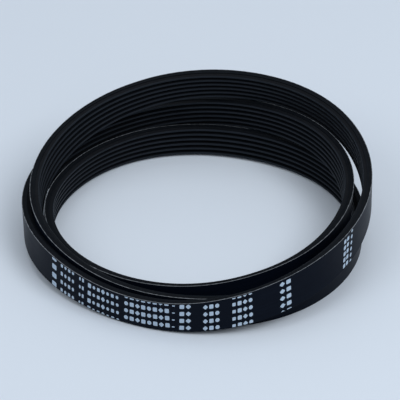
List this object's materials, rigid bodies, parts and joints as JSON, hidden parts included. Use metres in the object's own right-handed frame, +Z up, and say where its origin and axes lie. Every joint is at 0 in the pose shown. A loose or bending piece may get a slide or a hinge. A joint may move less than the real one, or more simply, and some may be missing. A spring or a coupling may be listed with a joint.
{
  "type": "serpentine belt",
  "caption": "Endless multi-rib rubber drive belt, coiled into turns that stand on edge with the ribs inward and the smooth back outward, as it lies before it is fitted.",
  "frame": {"origin": "middle of the coil's footprint, on the surface it lies on", "axes": "+Z up, across the belt's width; +X to the side where the turns part, +Y to the side where they stand highest"},
  "size_m": [0.15, 0.1398, 0.0421],
  "materials": {
    "black_rubber": "satin"
  },
  "bodies": {
    "root": {"ribbed_belt": "black_rubber"}
  },
  "joints": []
}
